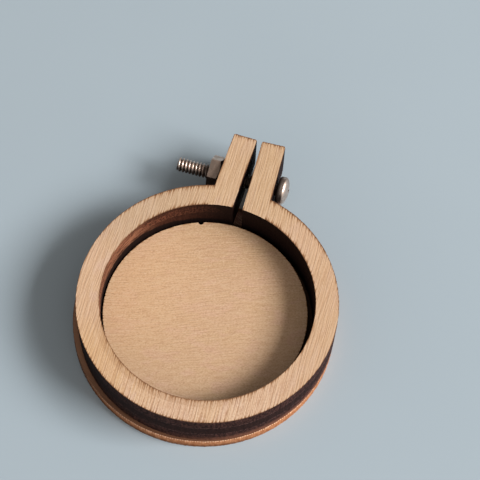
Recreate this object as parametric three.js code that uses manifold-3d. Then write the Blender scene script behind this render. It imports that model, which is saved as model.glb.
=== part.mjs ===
// A small wooden embroidery hoop: a thick split ring with two clamping ears, a disc that the cloth
// is stretched over, a thin back plate, and the machine screw and hex nut that draw the ears together.
//
// Millimetres, +Z up. The origin is on the ring's axis, on the underside of the back plate. The ears
// point along +Y and the clamp screw lies along X, with its head at +X.

import * as THREE from 'three';
import { mergeVertices } from 'three/addons/utils/BufferGeometryUtils.js';
import Module from 'manifold-3d';

const wasm = await Module();
wasm.setup();

// Driving dimensions: the ring and its ears
const BORE_RADIUS = 20; // the round window that the stitched cloth shows through
const RIM_WIDTH = 4.3; // the ring's face, from the bore to the outer edge
const RING_THICKNESS = 8.6;
const SLOT_AT_BORE = 2; // width of the split where it leaves the bore
const EAR_WIDTH = 4.7;
const EAR_LENGTH = 11.5; // from the ring's outer edge to the ear tips
const SLOT_AT_TIP = 1; // the screw draws the ears in, so the split narrows towards their tips
const EAR_CORNER_RADIUS = 0.35;

// Driving dimensions: the two pieces cut from thin ply
const PLY_THICKNESS = 2.6;
const CLOTH_CLEARANCE = 0.7; // room round the disc for the cloth that is folded over its edge
const PLATE_LIP = 0.55; // how far the back plate's radius passes the ring's
const PLATE_OFFSET = 0.6; // the back plate lies this far off the ring's axis, towards -X
const DISC_SIDE_GAP = 0.3; // left between disc and bore on the -X side, where the disc slid over
const NOTCH_RADIUS = 0.5; // small half-round nick in the disc's edge, where its cut starts
const NOTCH_ANGLE = THREE.MathUtils.degToRad(109); // from +X

// Driving dimensions: the clamp screw and its nut
const SCREW_DIAMETER = 2.85;
const SCREW_FREE_END = 6.55; // length of the screw that stands out past the nut
const SCREW_TIP_CHAMFER = 0.35;
const NUT_TO_RIM = 0.63; // from the nut's corners to the ring's outer edge, which sets the screw hole
const HEAD_DIAMETER = 5.6;
const HEAD_HEIGHT = 2.2;
const HEAD_SIDE_HEIGHT = 1.05; // the straight side below the head's dome
const NUT_ACROSS_FLATS = 6.35;
const NUT_THICKNESS = 2.1;
const NUT_TURN = THREE.MathUtils.degToRad(15); // one flat faces up, tipped this far to the front
const NUT_CHAMFER_ANGLE = THREE.MathUtils.degToRad(30);
const NUT_MOUTH_FLARE = 0.3; // the bore opens out at 45 degrees at both faces

// Clearances
const HOLE_CLEARANCE = 0.3; // round the screw in the ears
const NUT_CLEARANCE = 0.3; // round the screw in the nut
const SEAT_GAP = 0.3; // from the head and the nut to the nearest point of the ear

// Facets
const ROUND_STEPS = 144; // on the ring, the disc and the plate
const HARDWARE_STEPS = 36; // on the screw, its holes and the nut
const CORNER_STEPS = 4;
const NOTCH_STEPS = 8;
const DOME_STEPS = 9;
const MERGE_TOLERANCE = 1e-4; // points nearer than this are one corner of the solid

// Sizes worked out from the driving dimensions
const OUTER_RADIUS = BORE_RADIUS + RIM_WIDTH;
const DISC_RADIUS = BORE_RADIUS - CLOTH_CLEARANCE;
const DISC_OFFSET = CLOTH_CLEARANCE - DISC_SIDE_GAP;
const PLATE_RADIUS = OUTER_RADIUS + PLATE_LIP;
const RING_Z = PLY_THICKNESS;
const EAR_TIP_Y = OUTER_RADIUS + EAR_LENGTH;
const SCREW_RADIUS = SCREW_DIAMETER / 2;
const HEAD_RADIUS = HEAD_DIAMETER / 2;
const NUT_FLAT_RADIUS = NUT_ACROSS_FLATS / 2;
const NUT_CORNER_RADIUS = NUT_FLAT_RADIUS / Math.cos(Math.PI / 6);
const SCREW_Y = OUTER_RADIUS + NUT_TO_RIM + NUT_CORNER_RADIUS;
const SCREW_Z = RING_Z + RING_THICKNESS / 2;
const SLOT_ROOT_Y = Math.sqrt(BORE_RADIUS ** 2 - (SLOT_AT_BORE / 2) ** 2);
const EAR_LEAN = Math.atan2((SLOT_AT_BORE - SLOT_AT_TIP) / 2, EAR_TIP_Y - SLOT_ROOT_Y);

const plyTop = { color: 0xd6ad84, roughness: 0.72, metalness: 0 };
const discTop = { color: 0xcba17c, roughness: 0.72, metalness: 0 };
const plateEdge = { color: 0xb1764a, roughness: 0.7, metalness: 0 };
const screwSteel = { color: 0xc9c6c2, roughness: 0.28, metalness: 1 };
const nutSteel = { color: 0x8d8076, roughness: 0.42, metalness: 1 };

/** Turns a closed three.js geometry into a solid that can be cut. */
function toSolid(geometry) {
  const bare = geometry.clone();
  bare.deleteAttribute('normal');
  bare.deleteAttribute('uv');
  const merged = mergeVertices(bare, MERGE_TOLERANCE);
  const mesh = new wasm.Mesh({
    numProp: 3,
    vertProperties: Float32Array.from(merged.attributes.position.array),
    triVerts: Uint32Array.from(merged.index.array),
  });
  return new wasm.Manifold(mesh);
}

/** Turns a solid back into a three.js geometry. */
function toGeometry(solid) {
  const mesh = solid.getMesh();
  const geometry = new THREE.BufferGeometry();
  geometry.setAttribute('position', new THREE.BufferAttribute(mesh.vertProperties, 3));
  geometry.setIndex(new THREE.BufferAttribute(mesh.triVerts, 1));
  geometry.computeVertexNormals();
  return geometry;
}

/** Points on an arc round `centre`, from one angle to another, both ends included. */
function arcPoints(centre, radius, from, to, steps) {
  return Array.from({ length: steps + 1 }, (_, i) => {
    const angle = from + ((to - from) * i) / steps;
    return new THREE.Vector2(radius, 0).rotateAround(new THREE.Vector2(), angle).add(centre);
  });
}

/** The arc that rounds a square corner between two neighbouring points of an outline. */
function roundedCorner(before, corner, after, radius) {
  const back = before.clone().sub(corner).setLength(radius);
  const ahead = after.clone().sub(corner).setLength(radius);
  const centre = corner.clone().add(back).add(ahead);
  const from = Math.atan2(-ahead.y, -ahead.x);
  const turn = Math.sign(back.cross(ahead)) * (Math.PI / 2);
  return arcPoints(centre, radius, from, from - turn, CORNER_STEPS);
}

/** The right ear's corners, seen from above: both ends of its inner face and of its outer face. */
function earCorners() {
  const alongEar = new THREE.Vector2(-Math.sin(EAR_LEAN), Math.cos(EAR_LEAN));
  const acrossEar = new THREE.Vector2(Math.cos(EAR_LEAN), Math.sin(EAR_LEAN));
  const innerRoot = new THREE.Vector2(SLOT_AT_BORE / 2, SLOT_ROOT_Y);
  const innerTip = new THREE.Vector2(SLOT_AT_TIP / 2, EAR_TIP_Y);
  const outerTip = innerTip.clone().addScaledVector(acrossEar, EAR_WIDTH);
  // The outer face runs down from its tip until it meets the ring's outer circle
  const half = outerTip.dot(alongEar);
  const toRim = half - Math.sqrt(half ** 2 - outerTip.lengthSq() + OUTER_RADIUS ** 2);
  const outerRoot = outerTip.clone().addScaledVector(alongEar, -toRim);
  return { innerRoot, innerTip, outerTip, outerRoot };
}

/** X of the right ear's outer face at a given distance along the ear. */
function earFaceX(y) {
  const { outerTip } = earCorners();
  return outerTip.x + (outerTip.y - y) * Math.tan(EAR_LEAN);
}

/** X of a flat washer face that rests on the leaning ear, touching it first at its lowest point. */
function seatX(faceRadius) {
  return earFaceX(SCREW_Y - faceRadius) + SEAT_GAP;
}

function mirrored(point) {
  return new THREE.Vector2(-point.x, point.y);
}

/** The split ring and both ears, bored through for the screw. */
function outerRing() {
  const centre = new THREE.Vector2();
  const { innerRoot, innerTip, outerTip, outerRoot } = earCorners();
  const rightEar = [
    ...roundedCorner(innerRoot, innerTip, outerTip, EAR_CORNER_RADIUS),
    ...roundedCorner(innerTip, outerTip, outerRoot, EAR_CORNER_RADIUS),
  ];
  const leftEar = rightEar.map(mirrored).reverse();
  const rimStart = outerRoot.angle();
  const rimEnd = mirrored(outerRoot).angle() - 2 * Math.PI;
  const boreStart = mirrored(innerRoot).angle();
  const boreEnd = innerRoot.angle() + 2 * Math.PI;
  const outline = new THREE.Shape([
    ...rightEar,
    ...arcPoints(centre, OUTER_RADIUS, rimStart, rimEnd, ROUND_STEPS),
    ...leftEar,
    ...arcPoints(centre, BORE_RADIUS, boreStart, boreEnd, ROUND_STEPS),
  ]);
  const blank = toSolid(new THREE.ExtrudeGeometry(outline, { depth: RING_THICKNESS, bevelEnabled: false }));

  const drillRadius = SCREW_RADIUS + HOLE_CLEARANCE;
  const drillLength = 2 * (earFaceX(SCREW_Y) + EAR_WIDTH); // passes each ear by the ear's own width
  const drill = new THREE.CylinderGeometry(drillRadius, drillRadius, drillLength, HARDWARE_STEPS);
  drill.rotateZ(Math.PI / 2);
  drill.translate(0, SCREW_Y, SCREW_Z - RING_Z);
  return toGeometry(blank.subtract(toSolid(drill)));
}

/** The disc that the cloth is stretched over, with a nick in its edge. */
function fabricDisc() {
  const notchCentre = new THREE.Vector2(DISC_RADIUS, 0).rotateAround(new THREE.Vector2(), NOTCH_ANGLE);
  const notchHalfAngle = 2 * Math.asin(NOTCH_RADIUS / 2 / DISC_RADIUS);
  const inward = NOTCH_ANGLE + Math.PI;
  const sweep = Math.PI / 2 - notchHalfAngle / 2;
  const rimStart = NOTCH_ANGLE + notchHalfAngle;
  const rimEnd = NOTCH_ANGLE - notchHalfAngle + 2 * Math.PI;
  const rim = arcPoints(new THREE.Vector2(), DISC_RADIUS, rimStart, rimEnd, ROUND_STEPS);
  const notch = arcPoints(notchCentre, NOTCH_RADIUS, inward + sweep, inward - sweep, NOTCH_STEPS);
  const outline = new THREE.Shape([...rim, ...notch.slice(1, -1)]);
  return new THREE.ExtrudeGeometry(outline, { depth: PLY_THICKNESS, bevelEnabled: false });
}

function backPlate() {
  const rim = arcPoints(new THREE.Vector2(), PLATE_RADIUS, 0, 2 * Math.PI, ROUND_STEPS);
  const outline = new THREE.Shape(rim.slice(0, -1));
  return new THREE.ExtrudeGeometry(outline, { depth: PLY_THICKNESS, bevelEnabled: false });
}

/** Pan-headed screw along +X, with its origin under the head. Its thread is left plain. */
function clampScrew(shankLength) {
  const domeHeight = HEAD_HEIGHT - HEAD_SIDE_HEIGHT;
  const dome = Array.from({ length: DOME_STEPS }, (_, i) => {
    const angle = ((i + 1) / DOME_STEPS) * (Math.PI / 2);
    const radius = i + 1 === DOME_STEPS ? 0 : HEAD_RADIUS * Math.cos(angle);
    return new THREE.Vector2(radius, HEAD_SIDE_HEIGHT + domeHeight * Math.sin(angle));
  });
  const profile = [
    new THREE.Vector2(0, -shankLength),
    new THREE.Vector2(SCREW_RADIUS - SCREW_TIP_CHAMFER, -shankLength),
    new THREE.Vector2(SCREW_RADIUS, SCREW_TIP_CHAMFER - shankLength),
    new THREE.Vector2(SCREW_RADIUS, 0),
    new THREE.Vector2(HEAD_RADIUS, 0),
    new THREE.Vector2(HEAD_RADIUS, HEAD_SIDE_HEIGHT),
    ...dome,
  ];
  return new THREE.LatheGeometry(profile, HARDWARE_STEPS).rotateZ(-Math.PI / 2);
}

/** Hex nut along X, centred, with both faces chamfered at the corners and the bore opened out. */
function hexNut() {
  const half = NUT_THICKNESS / 2;
  const hexagon = arcPoints(new THREE.Vector2(), NUT_CORNER_RADIUS, 0, 2 * Math.PI, 6).slice(0, -1);
  const prism = new THREE.ExtrudeGeometry(new THREE.Shape(hexagon), {
    depth: NUT_THICKNESS,
    bevelEnabled: false,
  });
  prism.translate(0, 0, -half);
  prism.rotateX(-Math.PI / 2);

  const chamferDepth = (NUT_CORNER_RADIUS - NUT_FLAT_RADIUS) * Math.tan(NUT_CHAMFER_ANGLE);
  const crown = new THREE.LatheGeometry([
    new THREE.Vector2(0, -half),
    new THREE.Vector2(NUT_FLAT_RADIUS, -half),
    new THREE.Vector2(NUT_CORNER_RADIUS, chamferDepth - half),
    new THREE.Vector2(NUT_CORNER_RADIUS, half - chamferDepth),
    new THREE.Vector2(NUT_FLAT_RADIUS, half),
    new THREE.Vector2(0, half),
  ], HARDWARE_STEPS);

  const boreRadius = SCREW_RADIUS + NUT_CLEARANCE;
  const past = half + NUT_MOUTH_FLARE;
  const pastRadius = boreRadius + 2 * NUT_MOUTH_FLARE;
  const bore = new THREE.LatheGeometry([
    new THREE.Vector2(0, -past),
    new THREE.Vector2(pastRadius, -past),
    new THREE.Vector2(boreRadius, NUT_MOUTH_FLARE - half),
    new THREE.Vector2(boreRadius, half - NUT_MOUTH_FLARE),
    new THREE.Vector2(pastRadius, past),
    new THREE.Vector2(0, past),
  ], HARDWARE_STEPS);

  const nut = toSolid(prism).intersect(toSolid(crown)).subtract(toSolid(bore));
  return toGeometry(nut).rotateZ(Math.PI / 2);
}

/** A named piece with its own material, placed in its group. */
function piece(name, geometry, finish, place) {
  const mesh = new THREE.Mesh(geometry, new THREE.MeshStandardMaterial(finish));
  mesh.name = name;
  mesh.position.set(...place);
  return mesh;
}

// The nut's face is as wide as its flats: past them, the chamfer falls away from the ear
const headSeat = seatX(HEAD_RADIUS);
const nutSeat = seatX(NUT_FLAT_RADIUS);
const shankLength = headSeat + nutSeat + NUT_THICKNESS + SCREW_FREE_END;

const backing = new THREE.Group();
backing.add(
  piece('back_plate', backPlate(), plateEdge, [-PLATE_OFFSET, 0, 0]),
  piece('fabric_disc', fabricDisc(), discTop, [-DISC_OFFSET, 0, PLY_THICKNESS]),
);

const clamp = new THREE.Group();
clamp.position.set(0, SCREW_Y, SCREW_Z);
const nut = piece('hex_nut', hexNut(), nutSteel, [-nutSeat - NUT_THICKNESS / 2, 0, 0]);
nut.rotation.x = NUT_TURN;
clamp.add(piece('clamp_screw', clampScrew(shankLength), screwSteel, [headSeat, 0, 0]), nut);

const hoop = new THREE.Group();
hoop.add(backing, piece('outer_ring', outerRing(), plyTop, [0, 0, RING_Z]), clamp);

export default hoop;
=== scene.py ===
"""Looks of a small wooden embroidery hoop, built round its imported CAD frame.

The hoop lies on its back plate. Unless a name or comment says otherwise, lengths are millimetres in
the part's own frame: +Z up, the ring's axis as origin, the ears along +Y and the screw's head at
+X. A finished piece is in metres.
"""

import logging
import math
from abc import ABC, abstractmethod
from collections.abc import Callable, Iterator, Sequence
from contextlib import contextmanager
from dataclasses import dataclass, replace
from enum import Enum
from functools import reduce
from operator import mul

import bmesh
import bpy
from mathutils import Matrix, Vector

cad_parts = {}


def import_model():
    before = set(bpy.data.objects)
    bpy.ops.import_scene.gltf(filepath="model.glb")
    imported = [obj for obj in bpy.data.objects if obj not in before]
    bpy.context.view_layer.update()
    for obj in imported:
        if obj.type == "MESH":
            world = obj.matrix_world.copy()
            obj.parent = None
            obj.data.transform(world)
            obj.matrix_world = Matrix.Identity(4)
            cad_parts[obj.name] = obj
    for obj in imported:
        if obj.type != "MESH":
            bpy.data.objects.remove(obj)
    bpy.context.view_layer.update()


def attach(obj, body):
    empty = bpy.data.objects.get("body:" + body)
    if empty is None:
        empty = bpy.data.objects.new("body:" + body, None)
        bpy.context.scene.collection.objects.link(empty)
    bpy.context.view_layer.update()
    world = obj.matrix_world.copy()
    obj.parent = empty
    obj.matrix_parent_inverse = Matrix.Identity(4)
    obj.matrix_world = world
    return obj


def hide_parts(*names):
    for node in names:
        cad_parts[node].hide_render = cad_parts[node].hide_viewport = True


log = logging.getLogger("hoop")

METRES = 0.001  # one millimetre
FULL_TURN = 2 * math.pi
WELD = 1e-4  # points nearer than this are one point
LEVEL = 0.97  # a face that looks along an axis has at least this much of it in its normal
ALIKE = 0.002  # edges are as long as each other when their lengths differ by less than this
CELL_TURN = (0.6, 0.5, 0.8)  # radians that noise cells are turned by, so that their rows don't show

CLAMP = (0.0, 28.596, 6.9)  # the middle of the clamp, whose screw and nut lie along X

Pair = tuple[float, float]
Point = tuple[float, float, float]


def quarter_turn(steps: int) -> list[float]:
    """The angles from zero to a quarter turn, both included."""
    return [i * math.pi / 2 / steps for i in range(steps + 1)]


def bench_mesh() -> bmesh.types.BMesh:
    """The mesh under edit."""
    return bmesh.from_edit_mesh(bpy.context.edit_object.data)


def pick(everything: bool) -> None:
    """Selects all of the mesh under edit, or nothing."""
    bpy.ops.mesh.select_all(action="SELECT" if everything else "DESELECT")


def face_out() -> None:
    """Turns all faces of the mesh under edit outwards."""
    pick(True)
    bpy.ops.mesh.normals_make_consistent(inside=False)


def delete_points(points: Sequence[bmesh.types.BMVert]) -> None:
    """Deletes some points of the mesh under edit.

    Args:
        points: The points to delete.
    """
    pick(False)
    for point in points:
        point.select_set(True)
    bpy.ops.mesh.delete(type="VERT")


def draw_line(line: Sequence[Sequence[float]], drawn: Sequence[bmesh.types.BMVert]) -> None:
    """Draws an open line in the mesh under edit, in place of points that are there.

    Args:
        line: The line's points.
        drawn: The points that it takes the place of.
    """
    first, *spare = drawn
    delete_points(spare)
    first.co = line[0]
    first.select_set(True)
    for start, end in zip(line, line[1:]):
        step = Vector(end) - Vector(start)
        bpy.ops.mesh.extrude_region_move(TRANSFORM_OT_translate={"value": step})


class Axis(Enum):
    """The way that a round piece points."""

    Z = "Z"
    X = "X"


class Cut(Enum):
    """How a tool solid works on a piece."""

    AWAY = "DIFFERENCE"
    COMMON = "INTERSECT"
    WELDED = "UNION"


class Workpiece:
    """A mesh on the bench: modelled in millimetres with operators, then brought to metres."""

    def __init__(self, name: str) -> None:
        """Takes the object that an operator has just added.

        Args:
            name: The object's new name.
        """
        self.obj = bpy.context.active_object
        self.obj.name = name
        self.obj.data.name = name
        self._place()

    @staticmethod
    def clear_bench() -> None:
        """Deselects everything, because an operator acts on all that is selected."""
        bpy.ops.object.select_all(action="DESELECT")

    @classmethod
    def cylinder(
        cls, name: str, radius: float, length: float, centre: Point, steps: int, axis: Axis = Axis.Z
    ) -> "Workpiece":
        """Adds a round bar.

        Args:
            name: The object's name.
            radius: Its radius.
            length: Its length along the axis.
            centre: Its middle.
            steps: Facets round it.
            axis: The way it points.

        Returns:
            The bar.
        """
        cls.clear_bench()
        turn = (0, math.pi / 2 if axis is Axis.X else 0, 0)
        bpy.ops.mesh.primitive_cylinder_add(
            vertices=steps, radius=radius, depth=length, location=centre, rotation=turn
        )
        return cls(name)

    @classmethod
    def block(cls, name: str, size: Point, centre: Point) -> "Workpiece":
        """Adds a square-cornered block.

        Args:
            name: The object's name.
            size: Its three sides.
            centre: Its middle.

        Returns:
            The block.
        """
        cls.clear_bench()
        bpy.ops.mesh.primitive_cube_add(size=1, location=centre, scale=size)
        return cls(name)

    @classmethod
    def path(cls, name: str, points: Sequence[Point]) -> "Workpiece":
        """Draws an open line by extruding a point.

        Args:
            name: The object's name.
            points: The line's points.

        Returns:
            The line, with its object at the frame's origin.
        """
        cls.clear_bench()
        bpy.ops.mesh.primitive_plane_add(size=1)
        piece = cls(name)
        with piece.editing("VERT") as mesh:
            draw_line(points, list(mesh.verts))
        return piece

    def _take(self) -> None:
        """Makes this piece the only one selected, and the active one."""
        self.clear_bench()
        self.obj.select_set(True)
        bpy.context.view_layer.objects.active = self.obj

    def _place(self) -> None:
        """Moves the object's place, turn and scale into its mesh."""
        self._take()
        bpy.ops.object.transform_apply(location=True, rotation=True, scale=True)

    @contextmanager
    def editing(self, kind: str = "FACE") -> Iterator[bmesh.types.BMesh]:
        """Opens the piece in edit mode with nothing selected, and closes it again.

        Args:
            kind: The select mode, VERT, EDGE or FACE.

        Yields:
            The mesh under edit.
        """
        self._take()
        bpy.ops.object.mode_set(mode="EDIT")
        bpy.ops.mesh.select_mode(type=kind)
        pick(False)
        try:
            yield bench_mesh()
        finally:
            bpy.ops.object.mode_set(mode="OBJECT")

    def modify(self, kind: str, **settings: object) -> "Workpiece":
        """Adds a modifier and applies it.

        Args:
            kind: The modifier's type.
            **settings: Its settings.

        Returns:
            This piece.
        """
        self._take()
        modifier = self.obj.modifiers.new(kind.lower(), kind)
        for name, value in settings.items():
            setattr(modifier, name, value)
        bpy.ops.object.modifier_apply(modifier=modifier.name)
        return self

    def cut(self, tool: "Workpiece", how: Cut = Cut.AWAY) -> "Workpiece":
        """Cuts, keeps or welds with a tool solid, which is used up.

        Args:
            tool: The solid to work with.
            how: What it does.

        Returns:
            This piece.
        """
        self.modify("BOOLEAN", object=tool.obj, operation=how.value, solver="EXACT")
        spent = tool.obj.data
        bpy.data.objects.remove(tool.obj)
        bpy.data.meshes.remove(spent)
        return self

    def soften(self, width: float, degrees: float) -> "Workpiece":
        """Breaks the edges that are sharper than an angle."""
        limit = {"limit_method": "ANGLE", "angle_limit": math.radians(degrees)}
        return self.modify("BEVEL", width=width, segments=1, **limit)

    def turned(self, centre: Point, steps: int) -> "Workpiece":
        """Turns a drawn line about an axis along X into a closed round solid.

        Args:
            centre: A point on the axis.
            steps: Facets round it.

        Returns:
            This piece.
        """
        with self.editing("VERT"):
            pick(True)
            bpy.ops.mesh.spin(steps=steps, angle=FULL_TURN, center=centre, axis=(1, 0, 0))
            pick(True)
            bpy.ops.mesh.remove_doubles(threshold=WELD)
            face_out()
        return self

    def dress(self, flats: bpy.types.Material, walls: bpy.types.Material) -> None:
        """Gives the flats one material, and the walls and broken edges the other.

        Args:
            flats: The material of the level faces.
            walls: The material of the rest.
        """
        self.obj.data.materials.append(flats)
        self.obj.data.materials.append(walls)
        with self.editing("FACE") as mesh:
            for face in mesh.faces:
                face.select_set(abs(face.normal.z) < LEVEL)
            self.obj.active_material_index = 1
            bpy.ops.object.material_slot_assign()

    def finished(self, crease: float) -> bpy.types.Object:
        """Closes the work on the shape: outward faces, shading, and its size in metres.

        Args:
            crease: Faces meeting at less than this many degrees are shaded as one surface.

        Returns:
            The object, at the frame's origin, unturned and unscaled.
        """
        with self.editing("FACE"):
            face_out()
        self.obj.scale = (METRES,) * 3
        self._place()
        bpy.ops.object.shade_smooth_by_angle(angle=math.radians(crease))
        return self.obj


def paint(shade: str) -> tuple[float, ...]:
    """Turns a display colour into the linear colour that shaders take.

    Args:
        shade: Six hexadecimal digits.

    Returns:
        Red, green, blue and alpha.
    """
    parts = [int(shade[i : i + 2], 16) / 255 for i in (0, 2, 4)]
    linear = [c / 12.92 if c <= 0.04045 else ((c + 0.055) / 1.055) ** 2.4 for c in parts]
    return (*linear, 1.0)


class Signal:
    """What a node gives out for each point: a number, a vector or a colour."""

    def __init__(self, node: bpy.types.Node, output: int | str = 0) -> None:
        """Takes one output of a node."""
        self.socket = node.outputs[output]
        self.tree = node.id_data

    def math(self, operation: str, *values: "Value") -> "Signal":
        """The result of one of the Math node's operations on the values."""
        return Signal(add_node(self.tree, "Math", *values, operation=operation))

    def vector(self, operation: str, *others: "Value") -> "Signal":
        """The result of an operation on this vector and others."""
        node = add_node(self.tree, "VectorMath", self, *others, operation=operation)
        return Signal(node, "Value" if operation in ("DOT_PRODUCT", "DISTANCE", "LENGTH") else 0)

    def __add__(self, other: "Value") -> "Signal":
        """The sum with a number."""
        return self.math("ADD", self, other)

    def __radd__(self, other: float) -> "Signal":
        """The sum of a number and this."""
        return self.math("ADD", other, self)

    def __sub__(self, other: "Value") -> "Signal":
        """This less a number."""
        return self.math("SUBTRACT", self, other)

    def __rsub__(self, other: float) -> "Signal":
        """A number less this."""
        return self.math("SUBTRACT", other, self)

    def __mul__(self, other: "Value") -> "Signal":
        """The product with a number."""
        return self.math("MULTIPLY", self, other)

    def __truediv__(self, other: "Value") -> "Signal":
        """This divided by a number."""
        return self.math("DIVIDE", self, other)

    def __abs__(self) -> "Signal":
        """This number without its sign."""
        return self.math("ABSOLUTE", self)

    def least(self, other: "Signal") -> "Signal":
        """The smaller of two numbers."""
        return self.math("MINIMUM", self, other)

    def most(self, *others: "Signal") -> "Signal":
        """The largest of this number and others."""
        return reduce(lambda one, other: one.math("MAXIMUM", one, other), others, self)

    def part(self, name: str) -> "Signal":
        """The X, Y or Z of this vector."""
        return Signal(add_node(self.tree, "SeparateXYZ", self), name)

    def flat(self) -> "Signal":
        """This point with its height left out."""
        return self.vector("MULTIPLY", (1, 1, 0))

    def radius(self) -> "Signal":
        """How far this point is from the hoop's axis."""
        return self.flat().vector("LENGTH")

    def turned(self, degrees: float) -> "Signal":
        """Where to read a pattern that is to look turned about Z, counter-clockwise from above."""
        turn = (0, 0, -math.radians(degrees))
        return Signal(add_node(self.tree, "Mapping", self, (0, 0, 0), turn))

    def mix(self, under: "Value", over: "Value") -> "Signal":
        """Mixes two colours by this share.

        Args:
            under: The colour where the share is 0.
            over: The colour where it is 1.

        Returns:
            The mixed colour.
        """
        node = add_node(self.tree, "Mix", self, data_type="RGBA")
        feed(node.inputs[6], under)
        feed(node.inputs[7], over)
        return Signal(node, 2)


Value = Signal | float | Sequence[float] | str


def feed(socket: bpy.types.NodeSocket, value: Value) -> None:
    """Links a node's input to a signal, or sets it.

    Args:
        socket: The input.
        value: A signal, a number, a vector, or a display colour in six hexadecimal digits.
    """
    if isinstance(value, Signal):
        value.tree.links.new(value.socket, socket)
    else:
        socket.default_value = paint(value) if isinstance(value, str) else value


def add_node(
    tree: bpy.types.NodeTree, kind: str, *values: Value, **settings: object
) -> bpy.types.Node:
    """Adds a node.

    Args:
        tree: The node tree of a material or a world.
        kind: The node's type, without ShaderNode.
        *values: Its first inputs.
        **settings: Its settings.

    Returns:
        The node.
    """
    node = tree.nodes.new(f"ShaderNode{kind}")
    for name, setting in settings.items():
        setattr(node, name, setting)
    for socket, value in zip(node.inputs, values):
        feed(socket, value)
    return node


class Surface:
    """A material of one piece."""

    def __init__(self, name: str) -> None:
        """Starts a material with its shader, and finds the point on the object in millimetres.

        Args:
            name: The material's name.
        """
        self.material = bpy.data.materials.new(name)
        self.material.use_nodes = True
        self.tree = self.material.node_tree
        self.shader = self.tree.nodes["Principled BSDF"]
        metres = Signal(add_node(self.tree, "TexCoord"), "Object")
        self.place = metres.vector("SCALE", (0, 0, 0), (0, 0, 0), 1 / METRES)

    def relief(self, height: Signal, depth: float) -> None:
        """Raises the surface by a height of 0 to 1.

        Args:
            height: The pattern.
            depth: Its depth in millimetres.
        """
        bump = add_node(self.tree, "Bump")
        feed(bump.inputs["Distance"], depth * METRES)
        feed(bump.inputs["Height"], height)
        feed(self.shader.inputs["Normal"], Signal(bump))

    def finish(
        self, colour: Value, roughness: Value, specular: float = 0.5, metallic: float = 0.0
    ) -> bpy.types.Material:
        """Sets the shader.

        Args:
            colour: Base colour.
            roughness: Roughness.
            specular: Specular level.
            metallic: 1 for bare metal.

        Returns:
            The material.
        """
        names = ("Base Color", "Roughness", "Specular IOR Level", "Metallic")
        for name, value in zip(names, (colour, roughness, specular, metallic)):
            feed(self.shader.inputs[name], value)
        return self.material


@dataclass(frozen=True)
class Fade:
    """A number that goes smoothly from low to high while another goes from start to end."""

    start: float
    end: float
    low: float = 0.0
    high: float = 1.0

    def moved(self, by: float) -> "Fade":
        """The same fade with its start and end moved."""
        return replace(self, start=self.start + by, end=self.end + by)

    def at(self, value: Signal) -> Signal:
        """Builds the fade.

        Args:
            value: The number that it follows.

        Returns:
            The faded number.
        """
        bounds = (self.start, self.end, self.low, self.high)
        if self.start > self.end:
            bounds = (self.end, self.start, self.high, self.low)
        smooth = {"interpolation_type": "SMOOTHSTEP"}
        return Signal(add_node(value.tree, "MapRange", value, *bounds, **smooth))


@dataclass(frozen=True)
class Noise:
    """Smooth noise, which goes from 0 to 1 with its middle at 0.5, or a fade that follows it."""

    cells: Point  # how many there are in a millimetre of X, Y and Z
    detail: float = 2.0  # octaves of finer noise
    rough: float = 0.5  # strength of the finer noise
    shift: float = 0.0  # moves the pattern, so that no two are alike
    fade: Fade | None = None

    def at(self, place: Signal, shift: float = 0.0) -> Signal:
        """Builds the pattern.

        Args:
            place: Where to read it.
            shift: Moves it further.

        Returns:
            Its value at the place.
        """
        tree, offset = place.tree, (self.shift + shift,) * 3
        cells = Signal(add_node(tree, "Mapping", place, offset, CELL_TURN, self.cells))
        noise = Signal(add_node(tree, "TexNoise", cells, 0.0, 1.0, self.detail, self.rough))
        return self.fade.at(noise) if self.fade else noise


@dataclass(frozen=True)
class Patch:
    """A soft-edged place where a finish changes."""

    centre: Point
    reach: float
    most: float = 1.0
    core: float = 0.25  # share of the reach within which the change is at its most

    def at(self, place: Signal) -> Signal:
        """How much of the change shows at a point."""
        fade = Fade(self.reach, self.core * self.reach, high=self.most)
        return fade.at(place.vector("DISTANCE", self.centre))


@dataclass(frozen=True)
class Stain:
    """A colour laid on where all that is named here says so."""

    shade: str
    where: Patch | None = None
    noise: Noise | None = None
    z: Fade | None = None  # follows the height
    y: Fade | None = None
    x: Fade | None = None

    def shares(self, place: Signal) -> list[Signal]:
        """The shares whose product is the stain's own."""
        shares = [spot.at(place) for spot in (self.where, self.noise) if spot]
        fades = (("Z", self.z), ("Y", self.y), ("X", self.x))
        return shares + [fade.at(place.part(name)) for name, fade in fades if fade]

    def over(self, place: Signal, under: Signal) -> Signal:
        """The colour with the stain on it."""
        return reduce(mul, self.shares(place)).mix(under, self.shade)


@dataclass(frozen=True)
class SmokeAndShadeRing(Stain):
    """A ring about the hoop's axis in a colour of its own: laser browning, and on the plate's face
    in the gap between disc and bore painted shade.
    """

    inner: float = 0.0
    outer: float = 1.0
    soft: float = 0.3  # share of its width over which the inner edge fades, twice the outer's

    def shares(self, place: Signal) -> list[Signal]:
        """The shares of both edges, and those of any stain."""
        radius, fade = place.radius(), self.soft * (self.outer - self.inner)
        inside = Fade(self.inner, self.inner + fade).at(radius)
        outside = Fade(self.outer, self.outer - 0.5 * fade).at(radius)
        return [inside, outside, *super().shares(place)]


@dataclass(frozen=True)
class WavyChar(Stain):
    """Char at the foot of a wall, up to a wavy line that climbs along X."""

    line: Fade = Fade(0.0, 1.0)  # follows X: the line's height
    waves: Noise = Noise((0.5, 0.5, 0.0), 2.0, 0.5, 40.0)
    edge: Fade = Fade(0.35, -0.3)  # follows the height above the line

    def shares(self, place: Signal) -> list[Signal]:
        """The share of the foot, and those of any stain."""
        height = place.part("Z") + self.waves.at(place) - self.line.at(place.part("X"))
        return [self.edge.at(height), *super().shares(place)]


def stained(place: Signal, under: Signal, stains: Sequence[Stain]) -> Signal:
    """Lays stains on a colour, one after the other."""
    return reduce(lambda colour, stain: stain.over(place, colour), stains, under)


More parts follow.
